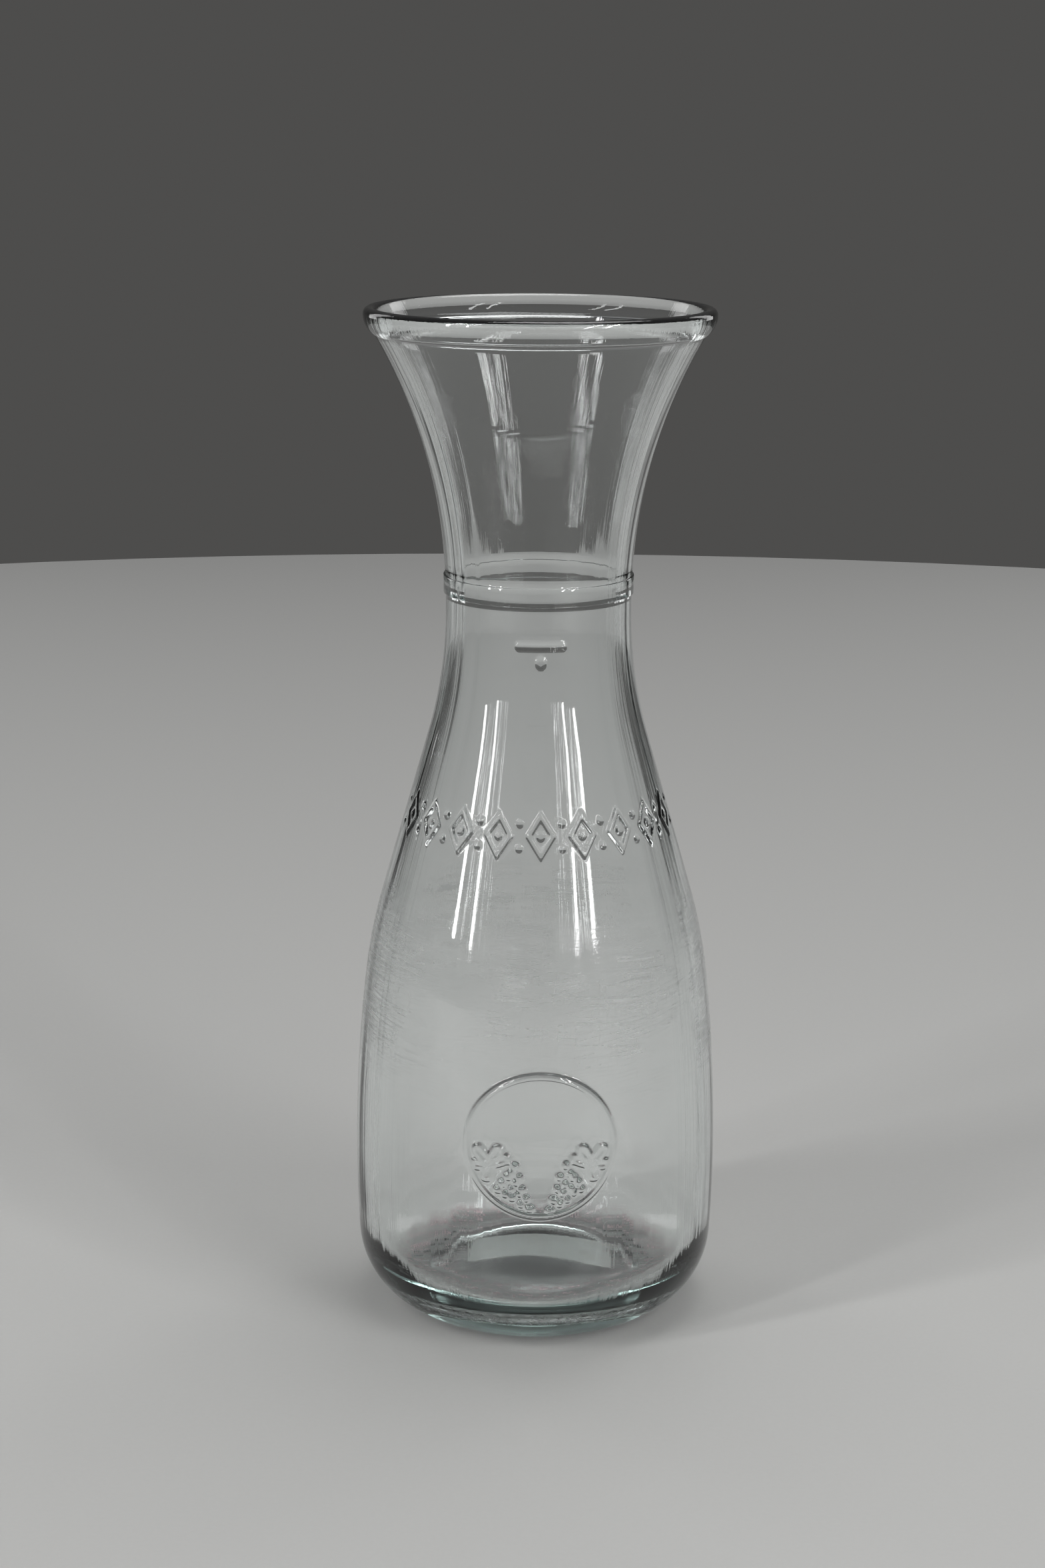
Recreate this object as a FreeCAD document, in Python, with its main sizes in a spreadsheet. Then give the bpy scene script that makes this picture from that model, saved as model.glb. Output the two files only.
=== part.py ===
import FreeCAD, Part
import math
import os
import Sketcher

V = FreeCAD.Vector
doc = FreeCAD.newDocument("carafe")

# Every size of the carafe in millimetres, heights measured up from the table.
SIZES = {
    # Foot: a flat bearing ring, cut across the heel, around a shallow domed push-up.
    "foot_cut": 1.2,
    "foot_width": 4.3,
    "pushup_height": 4.5,
    "floor_thickness": 5.0,
    "floor_arc": 95.0,
    # Body: heel, belly and shoulder arcs, each tangent to the next, then a straight rise.
    "heel_arc": 18.2,
    "inner_heel_arc": 13.0,
    "belly_radius": 41.5,
    "belly_height": 35.8,
    "belly_arc": 368.3,
    "shoulder_height": 77.2,
    "shoulder_arc": 128.0,
    "shoulder_angle": 16.0,
    "wall": 3.0,
    # Neck, its level band and the flared mouth, measured up from the narrowest place.
    "neck_radius": 20.7,
    "neck_arc": 101.1,
    "band_rise": 3.9,
    "band_width": 4.1,
    "band_proud": 0.5,
    "flare_rise": 2.6,
    "flare_arc": 116.4,
    "flare_length": 62.6,
    # Lip: a fine step below, an underside arc and a rounded rim.
    "lip_drop": 4.3,
    "lip_step": 0.34,
    "lip_under_arc": 5.6,
    # Round medallion standing proud of the belly at the front.
    "medallion_radius": 17.2,
    "medallion_height": 50.2,
    "medallion_proud": 0.8,
    "medallion_root": 1.0,
    "medallion_bevel": 0.55,
    # Paper strip stuck in the push-up under the base.
    "strip_length": 33.0,
    "strip_width": 12.6,
    "strip_thickness": 0.2,
    "strip_back": 5.0,
    "strip_side": 1.8,
    "strip_angle": -5.0,
    "glue_gap": 0.05,
    "strip_edge_clear": 2.0,
}

sheet = doc.addObject("Spreadsheet::Sheet", "Sizes")
for row, (name, value) in enumerate(SIZES.items(), start=1):
    sheet.set("A%d" % row, name)
    sheet.set("B%d" % row, repr(value))
    sheet.setAlias("B%d" % row, name)
doc.recompute()


def size(name):
    return float(getattr(sheet, name))


def meet(centreA, reachA, centreB, reachB, side):
    # Point at given distances from two centres, on the chosen side of the line between them.
    across = centreB - centreA
    gap = across.Length
    along = (reachA ** 2 - reachB ** 2 + gap ** 2) / (2 * gap)
    rise = math.sqrt(max(reachA ** 2 - along ** 2, 0.0))
    unit = across * (1 / gap)
    return centreA + unit * along + V(-unit.y, unit.x, 0) * (rise * side)


def toward(start, target, reach):
    step = target - start
    return start + step * (reach / step.Length)


def arc(centre, start, end):
    # Counter-clockwise arc about the centre from start to end.
    circle = Part.Circle(centre, V(0, 0, 1), (start - centre).Length)
    first = math.atan2(start.y - centre.y, start.x - centre.x)
    last = math.atan2(end.y - centre.y, end.x - centre.x)
    if last < first:
        last += 2 * math.pi
    return Part.ArcOfCircle(circle, first, last)


def planeOf(body, role):
    for feature in body.Origin.OriginFeatures:
        if feature.Role == role:
            return feature
    raise RuntimeError("no plane " + role)


def sketchIn(body, name, role="XZ_Plane"):
    sketch = body.newObject("Sketcher::SketchObject", name)
    sketch.AttachmentSupport = [(planeOf(body, role), "")]
    sketch.MapMode = "FlatFace"
    return sketch


SAMPLES = 5
TOLERANCE = 0.01


class Drawing:
    # Adds named edges to a sketch, joins their ends and ties its sizes to the sheet.
    def __init__(self, sketch):
        self.sketch = sketch
        self.index = {"table": -1, "upright": -2}
        self.points = {"origin": 1, "start": 1, "end": 2, "centre": 3}

    def edge(self, name, geometry):
        self.index[name] = self.sketch.addGeometry(geometry, False)

    def rule(self, kind, *words, value=None):
        # A word is an edge, such as heel, or a point of one, such as heel.end.
        given = []
        for word in words:
            edge, dot, point = word.partition(".")
            given.append(self.index[edge])
            if dot:
                given.append(self.points[point])
        if value is not None:
            given.append(value)
        return self.sketch.addConstraint(Sketcher.Constraint(kind, *given))

    def sized(self, kind, expression, value, *words):
        number = self.rule(kind, *words, value=value)
        self.sketch.setExpression("Constraints[%d]" % number, expression)

    def radius(self, edge, expression, value):
        self.sized("Radius", expression, value, edge)

    def height(self, point, expression, value):
        self.sized("DistanceY", expression, value, "table.origin", point)

    def across(self, point, expression, value):
        self.sized("DistanceX", expression, value, "table.origin", point)


# Centres and joints of the wall section, x outward and y up.
wall = size("wall")
bellyCentre = V(size("belly_radius") - size("belly_arc"), size("belly_height"), 0)
heelHeight = size("heel_arc") - size("foot_cut")
heelReach = size("belly_arc") - size("heel_arc")
heelDrop = size("belly_height") - heelHeight
heelCentre = V(bellyCentre.x + math.sqrt(heelReach ** 2 - heelDrop ** 2), heelHeight, 0)
heelTop = toward(bellyCentre, heelCentre, size("belly_arc"))
footOuter = V(heelCentre.x + math.sqrt(size("heel_arc") ** 2 - heelHeight ** 2), 0, 0)
footInner = footOuter - V(size("foot_width"), 0, 0)

# The rise leans in at a set angle from the shoulder arc, as far as the neck arc that touches it.
shoulderRise = size("shoulder_height") - size("belly_height")
shoulderStart = V(bellyCentre.x + math.sqrt(size("belly_arc") ** 2 - shoulderRise ** 2),
                  size("shoulder_height"), 0)
shoulderCentre = toward(shoulderStart, bellyCentre, size("shoulder_arc"))
lean = math.radians(size("shoulder_angle"))
slope = V(math.cos(lean), math.sin(lean), 0)
upRise = V(-slope.y, slope.x, 0)
riseFoot = shoulderCentre + slope * size("shoulder_arc")
riseReach = size("neck_radius") + size("neck_arc") * (1 - slope.x)
riseTop = riseFoot + upRise * ((riseFoot.x - riseReach) / slope.y)
neckCentre = riseTop + slope * size("neck_arc")
neckTop = neckCentre - V(size("neck_arc"), 0, 0)

bandFoot = neckTop + V(0, size("band_rise"), 0)
bandReach = size("neck_radius") + size("band_proud")
bandTop = bandFoot.y + size("band_width")
flareCentre = neckTop + V(size("flare_arc"), size("flare_rise"), 0)


def onFlare(height):
    return V(flareCentre.x - math.sqrt(size("flare_arc") ** 2 - (height - flareCentre.y) ** 2), height, 0)


lipHeight = flareCentre.y + size("flare_length")
flareStart = onFlare(bandTop)
flareEnd = onFlare(lipHeight - size("lip_drop"))
underStart = flareEnd + V(size("lip_step"), 0, 0)
underCentre = V(underStart.x - math.sqrt(size("lip_under_arc") ** 2 - size("lip_drop") ** 2), lipHeight, 0)
lipOut = underCentre + V(size("lip_under_arc"), 0, 0)
flareInner = size("flare_arc") + wall
offset = lipOut - flareCentre
rimArc = (flareInner ** 2 - offset.Length ** 2) / (2 * (flareInner - offset.x))
rimCentre = lipOut - V(rimArc, 0, 0)
rimInner = toward(flareCentre, rimCentre, flareInner)
throatTop = V(flareCentre.x - flareInner, flareCentre.y, 0)
throatFoot = V(throatTop.x, neckCentre.y, 0)

floorTop = V(0, size("pushup_height") + size("floor_thickness"), 0)
floorCentre = floorTop - V(0, size("floor_arc"), 0)
bellyInner = size("belly_arc") - wall
innerHeelCentre = meet(floorCentre, size("floor_arc") + size("inner_heel_arc"),
                       bellyCentre, bellyInner - size("inner_heel_arc"), -1)
innerHeelTop = toward(bellyCentre, innerHeelCentre, bellyInner)
floorEnd = toward(floorCentre, innerHeelCentre, size("floor_arc"))
pushupTop = V(0, size("pushup_height"), 0)
pushupArc = (footInner.x ** 2 + pushupTop.y ** 2) / (2 * pushupTop.y)
pushupCentre = pushupTop - V(0, pushupArc, 0)

# Carafe wall: one closed section turned about the upright axis.
glassBody = doc.addObject("PartDesign::Body", "glass_body")
section = sketchIn(glassBody, "wall_section")
draw = Drawing(section)
draw.edge("foot", Part.LineSegment(footInner, footOuter))
draw.edge("heel", arc(heelCentre, footOuter, heelTop))
draw.edge("belly", arc(bellyCentre, heelTop, shoulderStart))
draw.edge("shoulder", arc(shoulderCentre, shoulderStart, riseFoot))
draw.edge("rise", Part.LineSegment(riseFoot, riseTop))
draw.edge("neck", arc(neckCentre, neckTop, riseTop))
draw.edge("collar", Part.LineSegment(neckTop, bandFoot))
draw.edge("band_under", Part.LineSegment(bandFoot, V(bandReach, bandFoot.y, 0)))
draw.edge("band_face", Part.LineSegment(V(bandReach, bandFoot.y, 0), V(bandReach, bandTop, 0)))
draw.edge("band_over", Part.LineSegment(V(bandReach, bandTop, 0), flareStart))
draw.edge("flare", arc(flareCentre, flareEnd, flareStart))
draw.edge("lip_step", Part.LineSegment(flareEnd, underStart))
draw.edge("lip_under", arc(underCentre, underStart, lipOut))
draw.edge("rim", arc(rimCentre, lipOut, rimInner))
draw.edge("flare_in", arc(flareCentre, rimInner, throatTop))
draw.edge("throat_in", Part.LineSegment(throatTop, throatFoot))
draw.edge("neck_in", arc(neckCentre, throatFoot, riseTop - slope * wall))
draw.edge("rise_in", Part.LineSegment(riseTop - slope * wall, riseFoot - slope * wall))
innerShoulderStart = toward(bellyCentre, shoulderStart, bellyInner)
draw.edge("shoulder_in", arc(shoulderCentre, innerShoulderStart, riseFoot - slope * wall))
draw.edge("belly_in", arc(bellyCentre, innerHeelTop, innerShoulderStart))
draw.edge("heel_in", arc(innerHeelCentre, floorEnd, innerHeelTop))
draw.edge("floor", arc(floorCentre, floorEnd, floorTop))
draw.edge("middle", Part.LineSegment(floorTop, pushupTop))
draw.edge("pushup", arc(pushupCentre, footInner, pushupTop))

# Outside joints, foot to lip.
draw.rule("Horizontal", "foot")
draw.rule("PointOnObject", "foot.start", "table")
draw.rule("Coincident", "foot.end", "heel.start")
draw.rule("Tangent", "heel.end", "belly.start")
draw.rule("Tangent", "belly.end", "shoulder.start")
draw.rule("Tangent", "shoulder.end", "rise.start")
draw.rule("Tangent", "rise.end", "neck.end")
draw.rule("Tangent", "neck.start", "collar.start")
draw.rule("Vertical", "collar")
draw.rule("Coincident", "collar.end", "band_under.start")
draw.rule("Horizontal", "band_under")
draw.rule("Coincident", "band_under.end", "band_face.start")
draw.rule("Vertical", "band_face")
draw.rule("Coincident", "band_face.end", "band_over.start")
draw.rule("Horizontal", "band_over")
draw.rule("Coincident", "band_over.end", "flare.end")
draw.rule("Coincident", "flare.start", "lip_step.start")
draw.rule("Horizontal", "lip_step")
draw.rule("Coincident", "lip_step.end", "lip_under.start")
draw.rule("Tangent", "lip_under.end", "rim.start")
draw.rule("Horizontal", "lip_under.centre", "lip_under.end")
# Inside joints, rim to floor, then the push-up back to the foot.
draw.rule("Tangent", "rim.end", "flare_in.start")
draw.rule("Coincident", "flare_in.centre", "flare.centre")
draw.rule("Tangent", "flare_in.end", "throat_in.start")
draw.rule("Vertical", "throat_in")
draw.rule("Tangent", "throat_in.end", "neck_in.start")
draw.rule("Coincident", "neck_in.centre", "neck.centre")
draw.rule("Tangent", "neck_in.end", "rise_in.start")
draw.rule("Tangent", "rise_in.end", "shoulder_in.end")
draw.rule("Coincident", "shoulder_in.centre", "shoulder.centre")
draw.rule("Tangent", "shoulder_in.start", "belly_in.end")
draw.rule("Coincident", "belly_in.centre", "belly.centre")
draw.rule("Tangent", "belly_in.start", "heel_in.end")
draw.rule("Tangent", "heel_in.start", "floor.start")
draw.rule("PointOnObject", "floor.centre", "upright")
draw.rule("Coincident", "floor.end", "middle.start")
draw.rule("PointOnObject", "middle.start", "upright")
draw.rule("PointOnObject", "middle.end", "upright")
draw.rule("Coincident", "middle.end", "pushup.end")
draw.rule("PointOnObject", "pushup.centre", "upright")
draw.rule("Coincident", "pushup.start", "foot.start")

# Sizes of the section, each read from the sheet.
draw.sized("DistanceX", "Sizes.foot_width", size("foot_width"), "foot.start", "foot.end")
draw.radius("heel", "Sizes.heel_arc", size("heel_arc"))
draw.height("heel.centre", "Sizes.heel_arc - Sizes.foot_cut", heelCentre.y)
draw.radius("belly", "Sizes.belly_arc", size("belly_arc"))
draw.height("belly.centre", "Sizes.belly_height", bellyCentre.y)
draw.sized("DistanceX", "Sizes.belly_arc - Sizes.belly_radius", -bellyCentre.x,
           "belly.centre", "table.origin")
draw.height("belly.end", "Sizes.shoulder_height", shoulderStart.y)
draw.radius("shoulder", "Sizes.shoulder_arc", size("shoulder_arc"))
draw.sized("Angle", "(90 + Sizes.shoulder_angle) * 1 deg", math.pi / 2 + lean, "rise")
draw.radius("neck", "Sizes.neck_arc", size("neck_arc"))
draw.across("collar.end", "Sizes.neck_radius", neckTop.x)
draw.sized("DistanceY", "Sizes.band_rise", size("band_rise"), "collar.start", "collar.end")
draw.across("band_face.start", "Sizes.neck_radius + Sizes.band_proud", bandReach)
draw.sized("DistanceY", "Sizes.band_width", size("band_width"), "band_face.start", "band_face.end")
draw.radius("flare", "Sizes.flare_arc", size("flare_arc"))
draw.across("flare.centre", "Sizes.neck_radius + Sizes.flare_arc", flareCentre.x)
draw.sized("DistanceY", "Sizes.flare_rise", size("flare_rise"), "neck.centre", "flare.centre")
draw.sized("DistanceY", "Sizes.flare_length", size("flare_length"), "flare.centre", "lip_under.end")
draw.sized("DistanceY", "Sizes.lip_drop", size("lip_drop"), "flare.start", "lip_under.end")
draw.sized("DistanceX", "Sizes.lip_step", size("lip_step"), "lip_step.start", "lip_step.end")
draw.radius("lip_under", "Sizes.lip_under_arc", size("lip_under_arc"))
draw.radius("flare_in", "Sizes.flare_arc + Sizes.wall", flareInner)
draw.radius("belly_in", "Sizes.belly_arc - Sizes.wall", bellyInner)
draw.radius("heel_in", "Sizes.inner_heel_arc", size("inner_heel_arc"))
draw.radius("floor", "Sizes.floor_arc", size("floor_arc"))
draw.height("middle.start", "Sizes.pushup_height + Sizes.floor_thickness", floorTop.y)
draw.height("middle.end", "Sizes.pushup_height", pushupTop.y)
# The inner radius of the foot follows from the rest and is only measured, for the strip below.
footReach = draw.rule("DistanceX", "table.origin", "foot.start", value=footInner.x)
section.setDriving(footReach, False)
section.renameConstraint(footReach, "foot_reach")
doc.recompute()

turned = glassBody.newObject("PartDesign::Revolution", "turned_wall")
turned.Profile = section
turned.ReferenceAxis = (section, ["V_Axis"])
turned.Angle = 360
section.Visibility = False

# Medallion: a shell just outside the belly, kept only inside a round cutter, edge bevelled.
shellBody = doc.addObject("PartDesign::Body", "medallion_shell")
shellSketch = sketchIn(shellBody, "medallion_section")
shellOuter = size("belly_arc") + size("medallion_proud")
shellInner = size("belly_arc") - size("medallion_root")
shellHalf = size("medallion_radius") + size("medallion_root")
shellLow = size("medallion_height") - shellHalf
shellHigh = size("medallion_height") + shellHalf


def onBelly(reach, height):
    return V(bellyCentre.x + math.sqrt(reach ** 2 - (height - bellyCentre.y) ** 2), height, 0)


draw = Drawing(shellSketch)
draw.edge("low", Part.LineSegment(onBelly(shellInner, shellLow), onBelly(shellOuter, shellLow)))
draw.edge("face", arc(bellyCentre, onBelly(shellOuter, shellLow), onBelly(shellOuter, shellHigh)))
draw.edge("high", Part.LineSegment(onBelly(shellOuter, shellHigh), onBelly(shellInner, shellHigh)))
draw.edge("root", arc(bellyCentre, onBelly(shellInner, shellLow), onBelly(shellInner, shellHigh)))
draw.rule("Horizontal", "low")
draw.rule("Horizontal", "high")
draw.rule("Coincident", "low.end", "face.start")
draw.rule("Coincident", "face.end", "high.start")
draw.rule("Coincident", "high.end", "root.end")
draw.rule("Coincident", "root.start", "low.start")
draw.rule("Coincident", "root.centre", "face.centre")
draw.radius("face", "Sizes.belly_arc + Sizes.medallion_proud", shellOuter)
draw.radius("root", "Sizes.belly_arc - Sizes.medallion_root", shellInner)
draw.height("face.centre", "Sizes.belly_height", bellyCentre.y)
draw.sized("DistanceX", "Sizes.belly_arc - Sizes.belly_radius", -bellyCentre.x,
           "face.centre", "table.origin")
shellSpan = "(Sizes.medallion_radius + Sizes.medallion_root)"
draw.height("face.start", "Sizes.medallion_height - " + shellSpan, shellLow)
draw.height("face.end", "Sizes.medallion_height + " + shellSpan, shellHigh)
doc.recompute()
shellTurn = shellBody.newObject("PartDesign::Revolution", "shell_turn")
shellTurn.Profile = shellSketch
shellTurn.ReferenceAxis = (shellSketch, ["V_Axis"])
shellTurn.Angle = 360
shellSketch.Visibility = False

cutter = doc.addObject("Part::Cylinder", "medallion_cutter")
cutter.setExpression("Radius", "Sizes.medallion_radius")
cutter.setExpression("Height", "Sizes.belly_radius + Sizes.medallion_proud + Sizes.medallion_root")
cutter.Placement = FreeCAD.Placement(V(0, 0, size("medallion_height")),
                                     FreeCAD.Rotation(V(1, 0, 0), 90))
cutter.setExpression("Placement.Base.z", "Sizes.medallion_height")
disc = doc.addObject("Part::MultiCommon", "medallion_disc")
disc.Shapes = [shellBody, cutter]
doc.recompute()


def isFaceEdge(edge):
    # True for an edge lying on the outer face of the disc, tested at evenly spaced points.
    for point in edge.discretize(SAMPLES):
        reach = math.hypot(point.x, point.y) - bellyCentre.x
        if abs(math.hypot(reach, point.z - bellyCentre.y) - shellOuter) > TOLERANCE:
            return False
    return True


bevel = doc.addObject("Part::Chamfer", "medallion_bevelled")
bevel.Base = disc
edges = []
for number, edge in enumerate(disc.Shape.Edges, start=1):
    if isFaceEdge(edge):
        edges.append((number, size("medallion_bevel"), size("medallion_bevel")))
bevel.Edges = edges
doc.recompute()

carafe = doc.addObject("Part::MultiFuse", "carafe")
carafe.Shapes = [glassBody, bevel]
carafe.Refine = True
carafe.Label = "glass_carafe"
carafe.Placement = FreeCAD.Placement(V(0, 0, 0), FreeCAD.Rotation())

# Paper strip: a thin dome lying just under the push-up, trimmed to a strip.
paperBody = doc.addObject("PartDesign::Body", "paper_dome")
paperSketch = sketchIn(paperBody, "paper_section")
paperTop = pushupArc - size("glue_gap")
paperUnder = paperTop - size("strip_thickness")
paperReach = footInner.x - size("strip_edge_clear")


def onDome(reach, x):
    return V(x, pushupCentre.y + math.sqrt(reach ** 2 - x ** 2), 0)


draw = Drawing(paperSketch)
draw.edge("over", arc(pushupCentre, onDome(paperTop, paperReach), onDome(paperTop, 0)))
draw.edge("middle", Part.LineSegment(onDome(paperTop, 0), onDome(paperUnder, 0)))
draw.edge("under", arc(pushupCentre, onDome(paperUnder, paperReach), onDome(paperUnder, 0)))
draw.edge("side", Part.LineSegment(onDome(paperUnder, paperReach), onDome(paperTop, paperReach)))
draw.rule("Coincident", "over.end", "middle.start")
draw.rule("Coincident", "middle.end", "under.end")
draw.rule("Coincident", "under.start", "side.start")
draw.rule("Coincident", "side.end", "over.start")
draw.rule("Vertical", "side")
draw.rule("PointOnObject", "middle.start", "upright")
draw.rule("PointOnObject", "middle.end", "upright")
draw.rule("Coincident", "over.centre", "under.centre")
draw.rule("PointOnObject", "over.centre", "upright")
footRadius = "(%s.Constraints.foot_reach / 1 mm)" % section.Name
domeArc = "(%s ^ 2 + Sizes.pushup_height ^ 2) / (2 * Sizes.pushup_height)" % footRadius
draw.radius("over", domeArc + " - Sizes.glue_gap", paperTop)
draw.radius("under", domeArc + " - Sizes.glue_gap - Sizes.strip_thickness", paperUnder)
paperCrown = size("pushup_height") - size("glue_gap")
draw.height("middle.start", "Sizes.pushup_height - Sizes.glue_gap", paperCrown)
draw.across("side.start", footRadius + " - Sizes.strip_edge_clear", paperReach)
doc.recompute()
paperTurn = paperBody.newObject("PartDesign::Revolution", "paper_turn")
paperTurn.Profile = paperSketch
paperTurn.ReferenceAxis = (paperSketch, ["V_Axis"])
paperTurn.Angle = 360
paperSketch.Visibility = False

stencil = doc.addObject("Part::Box", "strip_stencil")
stencil.setExpression("Length", "Sizes.strip_length")
stencil.setExpression("Width", "Sizes.strip_width")
stencil.setExpression("Height", "Sizes.pushup_height")
turn = FreeCAD.Rotation(V(0, 0, 1), size("strip_angle"))
middle = V(size("strip_side"), size("strip_back"), 0)
corner = turn.multVec(V(-size("strip_length") / 2, -size("strip_width") / 2, 0))
stencil.Placement = FreeCAD.Placement(middle + corner, turn)
strip = doc.addObject("Part::MultiCommon", "strip")
strip.Shapes = [paperBody, stencil]
strip.Label = "paper_label"
strip.Placement = FreeCAD.Placement(V(0, 0, 0), FreeCAD.Rotation())
doc.recompute()

for item in doc.Objects:
    if "Invalid" in item.State or "Error" in item.State:
        raise RuntimeError("%s did not build: %s" % (item.Name, item.State))
    if hasattr(item, "Shape") and item.isDerivedFrom("Part::Feature"):
        if item.Shape.isNull() or not item.Shape.isValid():
            raise RuntimeError("%s has a bad shape" % item.Name)

os.makedirs("parts", exist_ok=True)
for piece in (carafe, strip):
    shape = piece.Shape
    box = shape.optimalBoundingBox()
    print("%s: %d solid, %.1f ml of material, %.2f x %.2f x %.2f mm, z %.2f to %.2f"
          % (piece.Label, len(shape.Solids), shape.Volume / 1000,
             box.XLength, box.YLength, box.ZLength, box.ZMin, box.ZMax))
    shape.exportStep("parts/%s.step" % piece.Label)
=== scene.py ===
import math
import random

import bmesh
import bpy
from mathutils import Matrix, Vector, noise


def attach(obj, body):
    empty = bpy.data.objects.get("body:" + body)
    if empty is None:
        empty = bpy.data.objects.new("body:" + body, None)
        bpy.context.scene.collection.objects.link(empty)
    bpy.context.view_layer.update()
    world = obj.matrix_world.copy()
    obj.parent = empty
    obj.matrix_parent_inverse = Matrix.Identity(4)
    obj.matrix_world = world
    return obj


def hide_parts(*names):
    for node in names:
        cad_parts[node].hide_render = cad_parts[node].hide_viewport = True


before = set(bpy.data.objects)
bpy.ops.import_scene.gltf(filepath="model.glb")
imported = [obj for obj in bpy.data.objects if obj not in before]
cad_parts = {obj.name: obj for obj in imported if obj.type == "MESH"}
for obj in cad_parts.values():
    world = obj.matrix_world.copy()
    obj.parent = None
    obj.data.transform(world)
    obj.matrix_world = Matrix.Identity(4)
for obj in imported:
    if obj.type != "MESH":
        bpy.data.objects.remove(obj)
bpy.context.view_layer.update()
print("stage: frame loaded", sorted(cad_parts))

mm = 0.001


def clamped(value):
    return min(max(value, 0.0), 1.0)


# Wall section of the carafe, in millimetres; the same arcs as the CAD part
glassWall = dict(
    thickness=3.0,
    footCut=1.2, footWidth=4.3, pushupHeight=4.5,
    floorThickness=5.0, floorArc=95.0,
    heelArc=18.2, innerHeelArc=13.0,
    bellyRadius=41.5, bellyHeight=35.8, bellyArc=368.3,
    shoulderHeight=77.2, shoulderArc=128.0, shoulderAngle=16.0,
    neckRadius=20.7, neckArc=101.1,
    bandRise=3.9, bandWidth=4.1, bandProud=0.5,
    flareRise=2.6, flareArc=116.4, flareLength=62.6,
    lipDrop=4.3, lipStep=0.34, lipUnderArc=5.6,
    spinSteps=184,
    softCorner=0.16, cornerSegments=2,
    mergeGap=0.002, cornerGap=0.01, footGap=0.01,
    ornamentLow=30.0, ornamentHigh=160.0, insideLow=6.5,
)


def along(centre, radius, start, end, count, skipFirst=True):
    # points on an arc, angles in radians
    points = []
    for i in range(1 if skipFirst else 0, count + 1):
        a = start + (end - start) * i / count
        points.append(centre + Vector((math.cos(a), math.sin(a))) * radius)
    return points


def straight(start, end, count):
    return [start.lerp(end, i / count) for i in range(1, count + 1)]


def bearing(start, end):
    step = end - start
    return math.atan2(step.y, step.x)


def circlesMeet(centreA, reachA, centreB, reachB):
    # the lower meeting point of two circles
    step = centreB - centreA
    gap = step.length
    forward = (reachA ** 2 - reachB ** 2 + gap ** 2) / (2 * gap)
    side = math.sqrt(reachA ** 2 - forward ** 2)
    unit = step / gap
    return centreA + unit * forward - Vector((-unit.y, unit.x)) * side


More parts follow.
